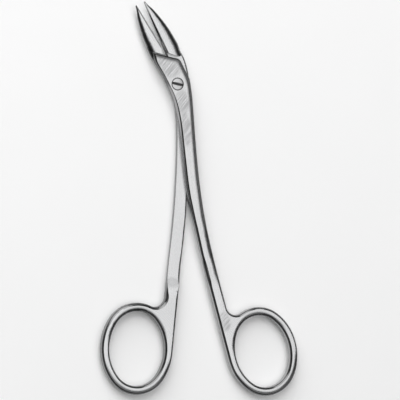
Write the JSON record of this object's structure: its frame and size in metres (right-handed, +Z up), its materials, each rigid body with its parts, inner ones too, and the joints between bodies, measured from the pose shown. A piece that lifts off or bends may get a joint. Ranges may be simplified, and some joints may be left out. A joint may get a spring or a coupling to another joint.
{
  "type": "clip forceps",
  "caption": "Ring-handled clip forceps: slim pointed jaws angled to the side, grooved inner jaw face, flat lap joint with a slotted pivot screw, long shanks and oval finger rings.",
  "frame": {"origin": "on the surface that it lies on, under the middle of its outline seen from above", "axes": "+Z up out of the surface, square to the flat of the rings; +Y from the finger rings to the jaws; +X to the right, seen from above with the jaws away from the viewer"},
  "size_m": [0.0704, 0.1328, 0.0047],
  "materials": {
    "steel": "satin polished",
    "screw_steel": "polished"
  },
  "bodies": {
    "lower_half": {"lower_half": "steel", "pivot_screw": "screw_steel"},
    "upper_half": {"upper_half": "steel"}
  },
  "joints": [
    {"name": "jaw_pivot", "type": "hinge", "parent": "lower_half", "child": "upper_half", "pos_m": [-0.00881, 0.03901, 0.0023], "axis": [0, 0, 1], "range_deg": [-5.45, 30]}
  ]
}
